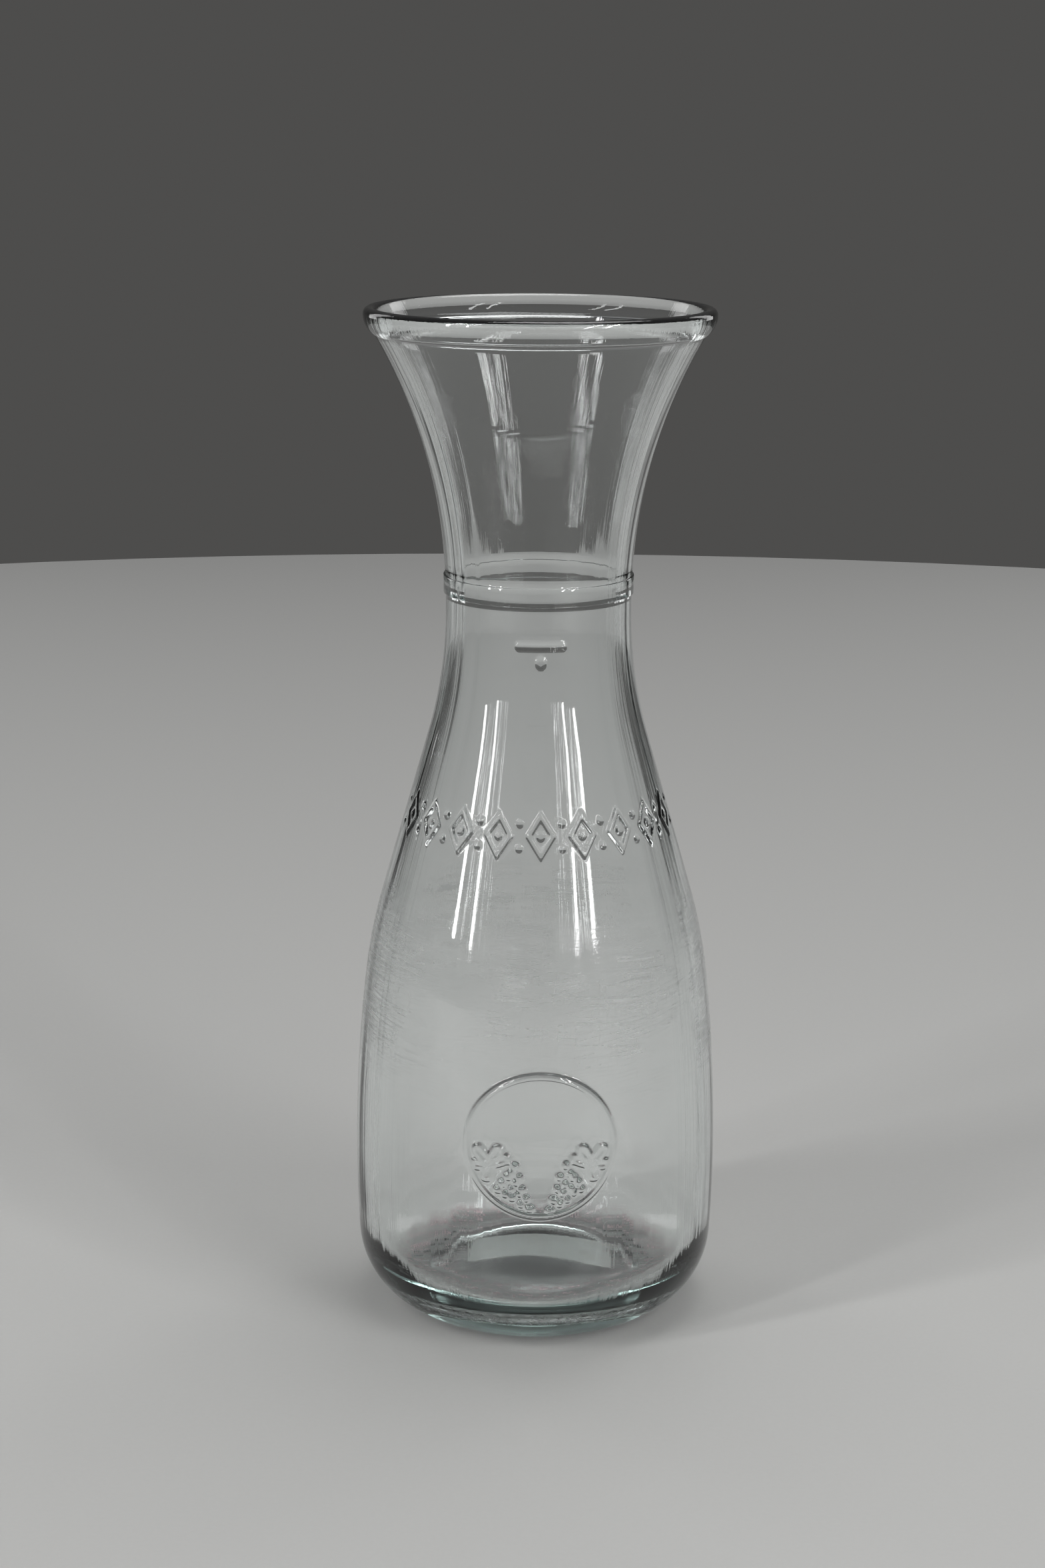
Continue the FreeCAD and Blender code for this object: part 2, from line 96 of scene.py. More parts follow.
def wallSection(s):
    # outside from the push-up to the rim, then inside from the rim to the floor
    # the sharp corners are listed apart
    halfTurn = math.pi
    t = s["thickness"]
    belly = Vector((s["bellyRadius"] - s["bellyArc"], s["bellyHeight"]))
    heelHeight = s["heelArc"] - s["footCut"]
    heelReach = s["bellyArc"] - s["heelArc"]
    heelDrop = s["bellyHeight"] - heelHeight
    heel = Vector((belly.x + math.sqrt(heelReach ** 2 - heelDrop ** 2), heelHeight))
    footOut = Vector((heel.x + math.sqrt(s["heelArc"] ** 2 - heelHeight ** 2), 0))
    footIn = footOut - Vector((s["footWidth"], 0))
    pushupArc = (footIn.x ** 2 + s["pushupHeight"] ** 2) / (2 * s["pushupHeight"])
    pushup = Vector((0, s["pushupHeight"] - pushupArc))
    heelTurn = bearing(belly, heel)
    shoulderTurn = math.asin((s["shoulderHeight"] - s["bellyHeight"]) / s["bellyArc"])
    lean = math.radians(s["shoulderAngle"])
    shoulderOut = Vector((math.cos(shoulderTurn), math.sin(shoulderTurn)))
    shoulder = belly + shoulderOut * (s["bellyArc"] - s["shoulderArc"])
    out = Vector((math.cos(lean), math.sin(lean)))
    riseFoot = shoulder + out * s["shoulderArc"]
    riseReach = s["neckRadius"] + s["neckArc"] * (1 - out.x)
    riseTop = riseFoot + Vector((-out.y, out.x)) * ((riseFoot.x - riseReach) / out.y)
    neck = riseTop + out * s["neckArc"]
    neckTop = neck - Vector((s["neckArc"], 0))
    bandFoot = neckTop + Vector((0, s["bandRise"]))
    bandTop = bandFoot.y + s["bandWidth"]
    bandOut = s["neckRadius"] + s["bandProud"]
    flare = neckTop + Vector((s["flareArc"], s["flareRise"]))
    lipHeight = flare.y + s["flareLength"]
    flareStart = halfTurn - math.asin((bandTop - flare.y) / s["flareArc"])
    flareEnd = halfTurn - math.asin((lipHeight - s["lipDrop"] - flare.y) / s["flareArc"])
    flareTop = flare + Vector((math.cos(flareEnd), math.sin(flareEnd))) * s["flareArc"]
    underFoot = flareTop + Vector((s["lipStep"], 0))
    underReach = math.sqrt(s["lipUnderArc"] ** 2 - s["lipDrop"] ** 2)
    under = Vector((underFoot.x - underReach, lipHeight))
    lipOut = under + Vector((s["lipUnderArc"], 0))
    flareInner = s["flareArc"] + t
    offset = lipOut - flare
    rimArc = (flareInner ** 2 - offset.length_squared) / (2 * (flareInner - offset.x))
    rim = lipOut - Vector((rimArc, 0))
    rimTurn = bearing(flare, rim)
    floorTop = Vector((0, s["pushupHeight"] + s["floorThickness"]))
    floor = floorTop - Vector((0, s["floorArc"]))
    bellyInner = s["bellyArc"] - t
    innerHeel = circlesMeet(floor, s["floorArc"] + s["innerHeelArc"],
                            belly, bellyInner - s["innerHeelArc"])
    innerHeelTurn = bearing(belly, innerHeel)
    floorTurn = bearing(floor, innerHeel)

    bandFace = Vector((bandOut, bandFoot.y))
    bandRim = Vector((bandOut, bandTop))
    flareFoot = flare + Vector((math.cos(flareStart), math.sin(flareStart))) * s["flareArc"]
    corners = [footIn, footOut, bandFoot, bandFace, bandRim, flareFoot, flareTop, underFoot]

    outside = along(pushup, pushupArc, halfTurn / 2, bearing(pushup, footIn), 12, skipFirst=False)
    outside += straight(footIn, footOut, 3)
    outside += along(heel, s["heelArc"], bearing(heel, footOut), heelTurn, 18)
    outside += along(belly, s["bellyArc"], heelTurn, shoulderTurn, 44)
    outside += along(shoulder, s["shoulderArc"], shoulderTurn, lean, 18)
    outside += straight(riseFoot, riseTop, 24)
    outside += along(neck, s["neckArc"], halfTurn + lean, halfTurn, 16)
    outside += straight(neckTop, bandFoot, 3)
    outside += [bandFace]
    outside += straight(bandFace, bandRim, 3)
    outside += [flareFoot]
    outside += along(flare, s["flareArc"], flareStart, flareEnd, 30)
    outside += [underFoot]
    outside += along(under, s["lipUnderArc"], bearing(under, underFoot), 0, 8)
    inside = along(rim, rimArc, 0, rimTurn, 14)
    inside += along(flare, flareInner, rimTurn, halfTurn, 22)
    inside += [neck + Vector((-s["neckArc"] - t, 0))]
    inside += along(neck, s["neckArc"] + t, halfTurn, halfTurn + lean, 10)
    inside += straight(riseTop - out * t, riseFoot - out * t, 12)
    inside += along(shoulder, s["shoulderArc"] - t, lean, shoulderTurn, 10)
    inside += along(belly, bellyInner, shoulderTurn, innerHeelTurn, 24)
    inside += along(innerHeel, s["innerHeelArc"], innerHeelTurn, floorTurn - halfTurn, 16)
    inside += along(floor, s["floorArc"], floorTurn, halfTurn / 2, 12)
    return outside, inside, corners


outsideLine, insideLine, cornerPoints = wallSection(glassWall)
print("stage: wall section,", len(outsideLine), "points outside,", len(insideLine), "inside")


def radiusTable(line, step=0.05, tallest=240):
    # widest radius of a section line at every height, in metres
    count = int(tallest / step)
    table = [None] * count
    for a, b in zip(line, line[1:]):
        low, high = (a, b) if a.y < b.y else (b, a)
        if high.y - low.y < 1e-9:
            continue
        for i in range(math.ceil(low.y / step), min(math.floor(high.y / step) + 1, count)):
            reach = low.x + (high.x - low.x) * (i * step - low.y) / (high.y - low.y)
            if table[i] is None or reach > table[i]:
                table[i] = reach

    def radius(height):
        place = height / mm / step
        i = int(place)
        if i < 0 or i + 1 >= count or table[i] is None or table[i + 1] is None:
            return None
        return (table[i] + (table[i + 1] - table[i]) * (place - i)) * mm

    return radius


outsideRadius = radiusTable(outsideLine)
insideRadius = radiusTable(insideLine)


def deselectAll():
    if bpy.context.mode != "OBJECT":
        bpy.ops.object.mode_set(mode="OBJECT")
    bpy.ops.object.select_all(action="DESELECT")


def makeActive(piece):
    deselectAll()
    piece.select_set(True)
    bpy.context.view_layer.objects.active = piece


def selectInEdit(piece, kind, wanted):
    # selects verts, edges or faces of the piece in edit mode by a test on each
    mesh = bmesh.from_edit_mesh(piece.data)
    bpy.ops.mesh.select_all(action="DESELECT")
    chosen = 0
    for item in getattr(mesh, kind):
        if wanted(item):
            item.select_set(True)
            chosen += 1
    mesh.select_flush_mode()
    bmesh.update_edit_mesh(piece.data)
    return chosen


def applyModifier(piece, kind, name, **settings):
    makeActive(piece)
    modifier = piece.modifiers.new(name, kind)
    for key, value in settings.items():
        setattr(modifier, key, value)
    bpy.ops.object.modifier_apply(modifier=modifier.name)


# Raised ornament on the outside; sizes in millimetres, u to the right of the front and v up
medallion = dict(
    radius=17.2, height=50.2, proud=0.8, bevel=1.0,
    rimMiddle=1.5, rimHalf=0.35, rimProud=0.25, rimSoft=0.4,
    fieldEdge=1.9, fieldSoft=0.5,
    margin=1.5, cuts=3, ringMiddle=0.7, ringHalf=1.4, ringCuts=1,
)
vine = dict(
    tip=(5.3, -4.4), down=(0.05, -1.0), across=(0.83, 0.56), rows=5, rowStep=1.85, grapeStep=2.05,
    grapeRadius=(0.82, 1.08), grapeHeight=0.8, jitter=0.34,
    leafCentre=(10.9, -4.0), leafLobes=((52, 3.8), (119, 3.7), (157, 3.5), (-8, 3.0), (-78, 2.9)),
    lobeWidth=1.35, lobeSoft=0.7, leafHeight=0.62,
    veinWidth=0.25, veinSoft=0.3, veinDepth=0.45,
    stemBend=(8.2, -2.0), stemWidth=0.45, stemSoft=0.5, stemHeight=0.5,
)
lozengeBand = dict(
    height=117.4, count=9, pitch=18.0, halfWidth=3.3, halfHeight=5.2, stroke=1.1,
    dotRadius=0.95, beadRadius=0.75, beadLift=2.6, proud=0.6, soft=0.42, endFade=0.55, endReach=0.6,
    low=110.8, high=124.0, spread=80, cuts=3,
)
levelMark = dict(
    barHeight=157.6, halfLength=5.6, halfWidth=0.65, dotHeight=154.0, dotRadius=1.15,
    proud=0.5, soft=0.5, low=151.5, high=160.0, reach=8.0,
)
footDashes = dict(count=52, inner=25.7, outer=28.6, depth=0.28)
ripple = dict(
    depth=0.75, share=0.36, waves=((9, 0.30), (17, 0.26), (23, 0.24), (31, 0.22), (43, 0.16)),
    phase=1.7, drift=18.0, patchScale=(40, 40, 12), patchLevel=0.65, patchSwing=0.5,
    low=12.0, lowFade=12.0, high=218.0, highFade=20.0,
    lumpScale=(55, 55, 60), lumpShift=3, lumpSwing=0.9,
    lumpLow=9.0, lumpLowFade=6.0, lumpHigh=34.0, lumpHighFade=12.0,
)
reliefDepth = 1.6


def raised(distance, soft):
    # 1 well inside a motif, 0 outside, smooth over its edge
    x = clamped(0.5 - distance / soft)
    return x * x * (3 - 2 * x)


def segmentDistance(u, v, a, b):
    path = Vector((b[0] - a[0], b[1] - a[1]))
    share = clamped(((u - a[0]) * path.x + (v - a[1]) * path.y) / path.length_squared)
    return math.hypot(u - a[0] - path.x * share, v - a[1] - path.y * share)


def grapePlaces(s, seed):
    # one bunch, a little uneven: place and radius of each grape
    dice = random.Random(seed)
    down = Vector(s["down"]).normalized()
    across = Vector(s["across"]).normalized()
    places = []
    for row in range(s["rows"]):
        for place in range(row + 1):
            spot = Vector(s["tip"]) + down * (row * s["rowStep"])
            spot += across * ((place - row / 2) * s["grapeStep"])
            x = spot.x + dice.uniform(-1, 1) * s["jitter"]
            y = spot.y + dice.uniform(-1, 1) * s["jitter"]
            places.append((x, y, dice.uniform(*s["grapeRadius"])))
    return places


bunches = {side: grapePlaces(vine, seed) for side, seed in ((-1, 11), (1, 23))}


def vineHeight(u, v):
    # one side of the wreath, the other nearly mirrored about the middle
    bunch = bunches[-1 if u < 0 else 1]
    u = abs(u)
    s = vine
    height = 0.0
    for gx, gy, radius in bunch:
        d = math.hypot(u - gx, v - gy) / radius
        if d < 1:
            height = max(height, s["grapeHeight"] * math.sqrt(1 - d * d))
    cx, cy = s["leafCentre"]
    for angle, length in s["leafLobes"]:
        a = math.radians(angle)
        tip = (cx + math.cos(a) * length, cy + math.sin(a) * length)
        away = segmentDistance(u, v, (cx, cy), tip)
        lobe = raised(away - s["lobeWidth"], s["lobeSoft"]) * s["leafHeight"]
        vein = raised(away - s["veinWidth"], s["veinSoft"]) * s["veinDepth"] * s["leafHeight"]
        height = max(height, lobe - vein)
    stem = min(segmentDistance(u, v, s["tip"], s["stemBend"]),
               segmentDistance(u, v, s["stemBend"], s["leafCentre"]))
    return max(height, raised(stem - s["stemWidth"], s["stemSoft"]) * s["stemHeight"])


def medallionHeight(u, v):
    # bevelled disc with a bead along its edge and the wreath on its field
    s = medallion
    edge = s["radius"] - math.hypot(u, v)
    x = clamped(edge / s["bevel"])
    if x == 0.0:
        return 0.0
    face = s["proud"] * x * x * (3 - 2 * x)
    rim = raised(abs(edge - s["rimMiddle"]) - s["rimHalf"], s["rimSoft"]) * s["rimProud"]
    field = clamped((edge - s["fieldEdge"]) / s["fieldSoft"])
    return face + rim + field * vineHeight(u, v)


def bandHeightAt(u, v, radius):
    # lozenge outlines with a dot in each and beads between them
    s = lozengeBand
    step = math.radians(s["pitch"]) * radius
    reach = (s["count"] - 1) / 2
    if abs(u) > (reach + s["endReach"]) * step:
        return 0.0
    place = min(max(round(u / step), -reach), reach)
    du = u - place * step
    across = abs(du) / s["halfWidth"] + abs(v) / s["halfHeight"] - 1
    slope = math.hypot(1 / s["halfWidth"], 1 / s["halfHeight"])
    outline = abs(across / slope + s["stroke"] / 2) - s["stroke"] / 2
    height = raised(outline, s["soft"])
    height = max(height, raised(math.hypot(du, v) - s["dotRadius"], s["soft"]))
    gap = (math.floor(u / step) + 0.5) * step
    for lift in (-s["beadLift"], s["beadLift"]):
        height = max(height, raised(math.hypot(u - gap, v - lift) - s["beadRadius"], s["soft"]))
    fade = 1 - s["endFade"] * (u / (reach * step)) ** 2
    return height * s["proud"] * fade


def markHeightAt(u, z):
    # level bar with a dot under it
    s = levelMark
    du = max(abs(u) - s["halfLength"] + s["halfWidth"], 0.0)
    bar = math.hypot(du, z - s["barHeight"]) - s["halfWidth"]
    dot = math.hypot(u, z - s["dotHeight"]) - s["dotRadius"]
    return raised(min(bar, dot), s["soft"]) * s["proud"]


def reliefAt(co):
    # height of the ornament over the plain wall, in millimetres
    x, y, z = co.x / mm, co.y / mm, co.z / mm
    if y > 0:
        return 0.0
    if abs(x) < medallion["radius"] and abs(z - medallion["height"]) < medallion["radius"]:
        return medallionHeight(x, z - medallion["height"])
    radius = math.hypot(x, y)
    u = math.atan2(x, -y) * radius
    if lozengeBand["low"] < z < lozengeBand["high"]:
        return bandHeightAt(u, z - lozengeBand["height"], radius)
    if levelMark["low"] < z < levelMark["high"]:
        return markHeightAt(u, z)
    return 0.0


def rippleAt(co):
    # uneven thickness that blowing leaves on the inside: streaks up the wall, lumps over the floor
    s = ripple
    turn = math.atan2(co.y, co.x)
    z = co.z / mm
    total = 0.0
    for n, (waves, size) in enumerate(s["waves"]):
        lean = s["drift"] * co.z * (1 if n % 2 else -1)
        total += size * math.sin(waves * turn + s["phase"] * n + lean)
    patch = noise.noise(co * Vector(s["patchScale"]))
    streaks = 0.5 + 0.5 * total * (s["patchLevel"] + s["patchSwing"] * patch)
    streaks *= clamped((z - s["low"]) / s["lowFade"]) * clamped((s["high"] - z) / s["highFade"])
    lumps = 0.5 + s["lumpSwing"] * noise.noise(co * Vector(s["lumpScale"]) + Vector((0, 0, s["lumpShift"])))
    lumps *= clamped((z - s["lumpLow"]) / s["lumpLowFade"])
    lumps *= clamped((s["lumpHigh"] - z) / s["lumpHighFade"])
    return clamped(streaks * s["share"] + lumps * (1 - s["share"]))


def drawSection(name, line):
    # one vertex, extruded from point to point along the section
    deselectAll()
    bpy.ops.mesh.primitive_plane_add(size=mm)
    piece = bpy.context.active_object
    piece.name = name
    bpy.ops.object.mode_set(mode="EDIT")
    bpy.ops.mesh.select_all(action="SELECT")
    bpy.ops.mesh.merge(type="CENTER")
    bpy.ops.transform.translate(value=(line[0].x * mm, 0, line[0].y * mm))
    for here, there in zip(line, line[1:]):
        step = (there - here) * mm
        bpy.ops.mesh.extrude_vertices_move(TRANSFORM_OT_translate={"value": (step.x, 0, step.y)})
    return piece


def buildGlass():
    print("stage: glass wall")
    s = glassWall
    piece = drawSection("carafeGlass", outsideLine + insideLine)
    bpy.ops.mesh.select_all(action="SELECT")
    bpy.ops.mesh.spin(steps=s["spinSteps"], angle=2 * math.pi, center=(0, 0, 0), axis=(0, 0, 1))
    bpy.ops.mesh.select_all(action="SELECT")
    bpy.ops.mesh.remove_doubles(threshold=s["mergeGap"] * mm)
    bpy.ops.mesh.normals_make_consistent(inside=False)

    # soften the corners of the foot, the band and the lip
    def sectionPlace(vert):
        return Vector((math.hypot(vert.co.x, vert.co.y), vert.co.z)) / mm

    def cornerEdge(edge):
        a, b = (sectionPlace(vert) for vert in edge.verts)
        return any(max((a - corner).length, (b - corner).length) < s["cornerGap"] for corner in cornerPoints)

    chosen = selectInEdit(piece, "edges", cornerEdge)
    bpy.ops.mesh.bevel(offset=s["softCorner"] * mm, segments=s["cornerSegments"],
                       profile=0.5, affect="EDGES", clamp_overlap=True)
    print("  corner edges softened:", chosen)

    # finer faces where the ornament will stand
    half = s["thickness"] * mm / 2

    def onOutside(co):
        reach = outsideRadius(co.z)
        return reach is not None and math.hypot(co.x, co.y) > reach - half

    def fromMedallion(co):
        return math.hypot(co.x / mm, co.z / mm - medallion["height"])

    def underMedallion(face):
        co = face.calc_center_median()
        return co.y < 0 and fromMedallion(co) < medallion["radius"] + medallion["margin"] and onOutside(co)

    def underRing(face):
        co = face.calc_center_median()
        inward = medallion["radius"] - fromMedallion(co)
        return co.y < 0 and abs(inward - medallion["ringMiddle"]) < medallion["ringHalf"] and onOutside(co)

    def underBand(face):
        co = face.calc_center_median()
        turn = abs(math.degrees(math.atan2(co.x, -co.y)))
        return (lozengeBand["low"] * mm < co.z < lozengeBand["high"] * mm
                and turn < lozengeBand["spread"] and onOutside(co))

    def underMark(face):
        co = face.calc_center_median()
        return (co.y < 0 and abs(co.x) < levelMark["reach"] * mm and onOutside(co)
                and levelMark["low"] * mm < co.z < levelMark["high"] * mm)

    places = ((underMedallion, medallion["cuts"]), (underRing, medallion["ringCuts"]),
              (underBand, lozengeBand["cuts"]), (underMark, lozengeBand["cuts"]))
    for wanted, cuts in places:
        chosen = selectInEdit(piece, "faces", wanted)
        bpy.ops.mesh.subdivide(number_cuts=cuts, smoothness=0)
        print("  faces divided:", chosen)

    # the new points go back onto the round wall
    mesh = bmesh.from_edit_mesh(piece.data)
    for vert in mesh.verts:
        co = vert.co
        if s["ornamentLow"] < co.z / mm < s["ornamentHigh"] and co.y < 0 and onOutside(co):
            grow = outsideRadius(co.z) / math.hypot(co.x, co.y)
            co.x *= grow
            co.y *= grow
    bmesh.update_edit_mesh(piece.data)
    bpy.ops.object.mode_set(mode="OBJECT")

    # weights for the ornament, the dashes under the foot and the uneven inside
    relief = piece.vertex_groups.new(name="relief")
    dashes = piece.vertex_groups.new(name="dashes")
    uneven = piece.vertex_groups.new(name="uneven")
    insideMask = [0.0] * len(piece.data.vertices)
    for vert in piece.data.vertices:
        co = vert.co
        flat = math.hypot(co.x, co.y)
        if onOutside(co):
            height = reliefAt(co)
            if height > 0:
                relief.add([vert.index], height / reliefDepth, "REPLACE")
        inReach = insideRadius(co.z)
        if inReach is not None and flat < inReach + half and co.z > s["insideLow"] * mm:
            insideMask[vert.index] = 1.0
            uneven.add([vert.index], rippleAt(co), "REPLACE")
        if co.z < s["footGap"] * mm and footDashes["inner"] * mm < flat < footDashes["outer"] * mm:
            if math.sin(footDashes["count"] * math.atan2(co.y, co.x)) > 0:
                dashes.add([vert.index], 1.0, "REPLACE")
    for name, group, depth in (("ornament", "relief", reliefDepth), ("knurl", "dashes", -footDashes["depth"]),
                               ("unevenInside", "uneven", ripple["depth"])):
        applyModifier(piece, "DISPLACE", name, vertex_group=group, strength=depth * mm,
                      mid_level=0.0, direction="NORMAL")
    mask = piece.data.attributes.new("insideWall", "FLOAT", "POINT")
    mask.data.foreach_set("value", insideMask)
    makeActive(piece)
    bpy.ops.object.shade_smooth()
    print("  triangles:", sum(len(p.vertices) - 2 for p in piece.data.polygons))
    return piece


# Paper strip under the base, in millimetres; its face is sunk a hair into the glass, as glue wets both
paperStrip = dict(
    length=33.0, width=12.6, thickness=0.2, back=5.0, side=1.8, angle=-5.0, sink=0.03,
    ragged=0.28, longTear=0.9, shortTear=3.1, shortShare=0.5, frontShare=0.35, edgePower=8,
    columns=72, rows=26, creaseAngle=40,
)


def buildPaper():
    print("stage: paper strip")
    s = paperStrip
    deselectAll()
    bpy.ops.mesh.primitive_grid_add(x_subdivisions=s["columns"], y_subdivisions=s["rows"], size=1)
    piece = bpy.context.active_object
    piece.name = "paperStrip"
    piece.scale = (s["length"] * mm, s["width"] * mm, 1)
    bpy.ops.object.transform_apply(location=False, rotation=False, scale=True)
    footIn = cornerPoints[0].x
    dome = (footIn ** 2 + glassWall["pushupHeight"] ** 2) / (2 * glassWall["pushupHeight"])
    reach = dome + s["sink"] - s["thickness"]
    turn = Matrix.Rotation(math.radians(s["angle"]), 2)
    for vert in piece.data.vertices:
        u, v = vert.co.x / mm, vert.co.y / mm
        edge = abs(v) / (s["width"] / 2)
        longRow, shortRow, share = (3.0, 5.0, 1) if v > 0 else (9.0, 7.0, s["frontShare"])
        torn = noise.noise(Vector((u * s["longTear"], longRow, 0)))
        torn += noise.noise(Vector((u * s["shortTear"], shortRow, 0))) * s["shortShare"]
        v += torn * s["ragged"] * edge ** s["edgePower"] * share
        spot = turn @ Vector((u, v)) + Vector((s["side"], s["back"]))
        height = math.sqrt(reach ** 2 - spot.length_squared) - (dome - glassWall["pushupHeight"])
        vert.co = Vector((spot.x, spot.y, height)) * mm
    applyModifier(piece, "SOLIDIFY", "sheet", thickness=s["thickness"] * mm, offset=1.0)
    makeActive(piece)
    bpy.ops.object.shade_smooth_by_angle(angle=math.radians(s["creaseAngle"]))
    return piece


# Helpers for the node trees
def addNode(tree, kind, place, **inputs):
    node = tree.nodes.new(kind)
    node.location = place
    for key, value in inputs.items():
        node.inputs[key.replace("_", " ")].default_value = value
    return node


def newMaterial(name):
    material = bpy.data.materials.new(name)
    material.use_nodes = True
    tree = material.node_tree
    tree.nodes.clear()
    return material, tree


def mathNode(tree, operation, place, *values, clamp=False):
    # each value is a number or another node's output
    node = addNode(tree, "ShaderNodeMath", place)
    node.operation = operation
    node.use_clamp = clamp
    for socket, value in zip(node.inputs, values):
        if isinstance(value, (int, float)):
            socket.default_value = value
        else:
            tree.links.new(value, socket)
    return node.outputs[0]


def vectorNode(tree, operation, place, first, second=None):
    node = addNode(tree, "ShaderNodeVectorMath", place)
    node.operation = operation
    tree.links.new(first, node.inputs[0])
    if second is not None:
        node.inputs[1].default_value = second
    return node


def spread(tree, place, value, low, high, toLow=0.0, toHigh=1.0, smooth=False):
    # takes low..high to toLow..toHigh
    node = addNode(tree, "ShaderNodeMapRange", place, From_Min=low, From_Max=high,
                   To_Min=toLow, To_Max=toHigh)
    node.interpolation_type = "SMOOTHSTEP" if smooth else "LINEAR"
    tree.links.new(value, node.inputs["Value"])
    return node.outputs["Result"]


def noiseNode(tree, place, vector, scale, detail, roughness=0.5):
    node = addNode(tree, "ShaderNodeTexNoise", place, Scale=scale, Detail=detail, Roughness=roughness)
    tree.links.new(vector, node.inputs["Vector"])
    return node.outputs["Fac"]


def mixColours(tree, place, factor, first, second):
    node = addNode(tree, "ShaderNodeMix", place)
    node.data_type = "RGBA"
    for socket in node.inputs:
        if socket.type == "RGBA":
            socket.default_value = second if socket.name == "B" else first
    tree.links.new(factor, node.inputs["Factor"])
    return node.outputs[2]


glassLook = dict(
    ior=1.517, clearRoughness=0.008, scuffRoughness=0.38, filmRoughness=0.30,
    absorbColour=(0.60, 0.90, 0.85, 1), absorbDensity=14.0,
    scuffDust=1.0, filmDust=1.0, dustRoughness=0.75, dustIor=2.3,
    clearColour=(1.0, 1.0, 1.0, 1), filmColour=(0.82, 0.48, 0.53, 1),
    streakDepth=0.00004, scratchDepth=0.00005, scratchStrength=0.25,
    # heights and reaches in metres, where each starts and where it is full
    scuffFoot=(0.050, 0.072), scuffTop=(0.104, 0.090), scuffPatches=(0.35, 0.61),
    filmTop=(0.020, 0.010), filmInner=(0.016, 0.024), filmOuter=(0.034, 0.0295), filmMottle=(0.42, 0.60),
    hatchShare=0.85,
)
# features per metre around and upward, tilt in degrees, and the levels where a line starts and is full
levelScratches = dict(around=50, upward=1400, tilt=5, low=0.50, high=0.64)
fineScratches = dict(around=90, upward=2600, tilt=-7, low=0.50, high=0.66)
uprightScratches = dict(around=1900, upward=60, tilt=8, low=0.56, high=0.70)
wallStreaks = dict(around=420, upward=9, tilt=0, low=0.2, high=0.8)


def linesGroup():
    # thin lines: noise drawn out one way and cut at a level
    group = bpy.data.node_groups.new("drawnOutLines", "ShaderNodeTree")
    sockets = (("Vector", "NodeSocketVector"), ("Turn", "NodeSocketVector"), ("Spacing", "NodeSocketVector"),
               ("Low", "NodeSocketFloat"), ("High", "NodeSocketFloat"))
    for name, kind in sockets:
        group.interface.new_socket(name, in_out="INPUT", socket_type=kind)
    group.interface.new_socket("Mask", in_out="OUTPUT", socket_type="NodeSocketFloat")
    given = addNode(group, "NodeGroupInput", (0, 0))
    mapping = addNode(group, "ShaderNodeMapping", (200, 0))
    mapping.vector_type = "TEXTURE"
    group.links.new(given.outputs["Vector"], mapping.inputs["Vector"])
    group.links.new(given.outputs["Turn"], mapping.inputs["Rotation"])
    group.links.new(given.outputs["Spacing"], mapping.inputs["Scale"])
    drawn = noiseNode(group, (400, 0), mapping.outputs["Vector"], 1.0, 3.0, 0.6)
    cut = addNode(group, "ShaderNodeMapRange", (600, 0))
    group.links.new(drawn, cut.inputs["Value"])
    group.links.new(given.outputs["Low"], cut.inputs["From Min"])
    group.links.new(given.outputs["High"], cut.inputs["From Max"])
    result = addNode(group, "NodeGroupOutput", (800, 0))
    group.links.new(cut.outputs["Result"], result.inputs["Mask"])
    return group


def drawnLines(tree, group, vector, place, lines):
    node = addNode(tree, "ShaderNodeGroup", place)
    node.node_tree = group
    tree.links.new(vector, node.inputs["Vector"])
    node.inputs["Turn"].default_value = (0, math.radians(lines["tilt"]), 0)
    node.inputs["Spacing"].default_value = (1 / lines["around"], 1 / lines["around"], 1 / lines["upward"])
    node.inputs["Low"].default_value = lines["low"]
    node.inputs["High"].default_value = lines["high"]
    return node.outputs["Mask"]


